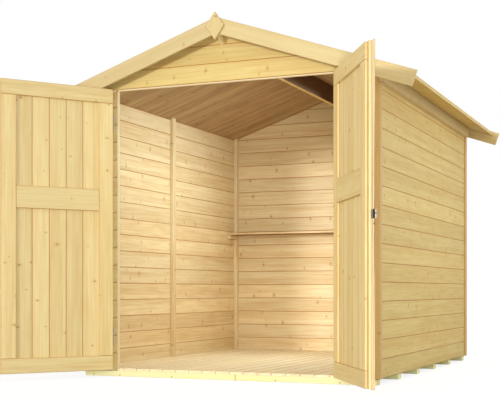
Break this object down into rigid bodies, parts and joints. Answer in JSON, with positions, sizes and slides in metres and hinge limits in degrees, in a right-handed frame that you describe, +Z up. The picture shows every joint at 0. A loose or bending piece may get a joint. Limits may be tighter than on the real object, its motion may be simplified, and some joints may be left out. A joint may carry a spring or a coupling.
{
  "type": "garden shed",
  "caption": "Apex-roofed timber garden shed with tongue-and-groove walls, floor on bearers, rear shelf and outward-opening double doors.",
  "frame": {"origin": "on the ground, under the middle of the front bearer", "axes": "+Z is up, +Y runs from the doors to the rear wall along the ridge, +X is to the right of a person who faces the doors"},
  "size_m": [2.5056, 3.2623, 2.2572],
  "materials": {
    "wall_timber": "planed softwood boards, dipped in a clear honey-coloured stain",
    "door_timber": "planed softwood boards, dipped in a clear honey-coloured stain",
    "trim_timber": "planed softwood battens, dipped in a clear honey-coloured stain",
    "inner_timber": "planed softwood, unstained",
    "treated_timber": "pressure-treated softwood with a green-yellow tint",
    "galvanised_steel": "bright zinc plate",
    "black_steel": "black enamel"
  },
  "bodies": {
    "shed": {"bearer_1": "treated_timber", "bearer_2": "treated_timber", "bearer_3": "treated_timber", "bearer_4": "treated_timber", "bearer_5": "treated_timber", "bearer_6": "treated_timber", "floor_boards": "inner_timber", "left_wall": "wall_timber", "right_wall": "wall_timber", "rear_wall": "wall_timber", "front_wall_left": "wall_timber", "front_wall_right": "wall_timber", "front_gable": "wall_timber", "left_studs": "inner_timber", "right_studs": "inner_timber", "door_post_left": "inner_timber", "door_post_right": "inner_timber", "door_header": "inner_timber", "corner_trim_front_left": "trim_timber", "corner_trim_front_right": "trim_timber", "corner_trim_rear_left": "trim_timber", "corner_trim_rear_right": "trim_timber", "roof_left": "wall_timber", "roof_right": "wall_timber", "eaves_lath_left": "trim_timber", "eaves_lath_right": "trim_timber", "ridge_beam": "inner_timber", "eaves_rail_left": "trim_timber", "eaves_rail_right": "trim_timber", "bargeboard_front_left": "trim_timber", "bargeboard_front_right": "trim_timber", "bargeboard_rear_left": "trim_timber", "bargeboard_rear_right": "trim_timber", "finial": "trim_timber", "shelf_board": "inner_timber", "shelf_cleats": "inner_timber", "hinge_plates": "galvanised_steel"},
    "left_door": {"left_door_boards": "door_timber", "left_door_stiles": "door_timber", "left_door_rails": "door_timber", "left_door_straps": "galvanised_steel"},
    "right_door": {"right_door_boards": "door_timber", "right_door_stiles": "door_timber", "right_door_rails": "door_timber", "right_door_straps": "galvanised_steel", "door_cover_strip": "door_timber", "lock_case": "black_steel", "lock_plate": "galvanised_steel"}
  },
  "joints": [
    {"name": "left_door_hinge", "type": "hinge", "parent": "shed", "child": "left_door", "pos_m": [-0.7686, -0.074, 0.9465], "axis": [0, 0, 1], "range_deg": [0, 126.5]},
    {"name": "right_door_hinge", "type": "hinge", "parent": "shed", "child": "right_door", "pos_m": [0.7686, -0.074, 0.9465], "axis": [0, 0, -1], "range_deg": [0, 121.3]}
  ]
}
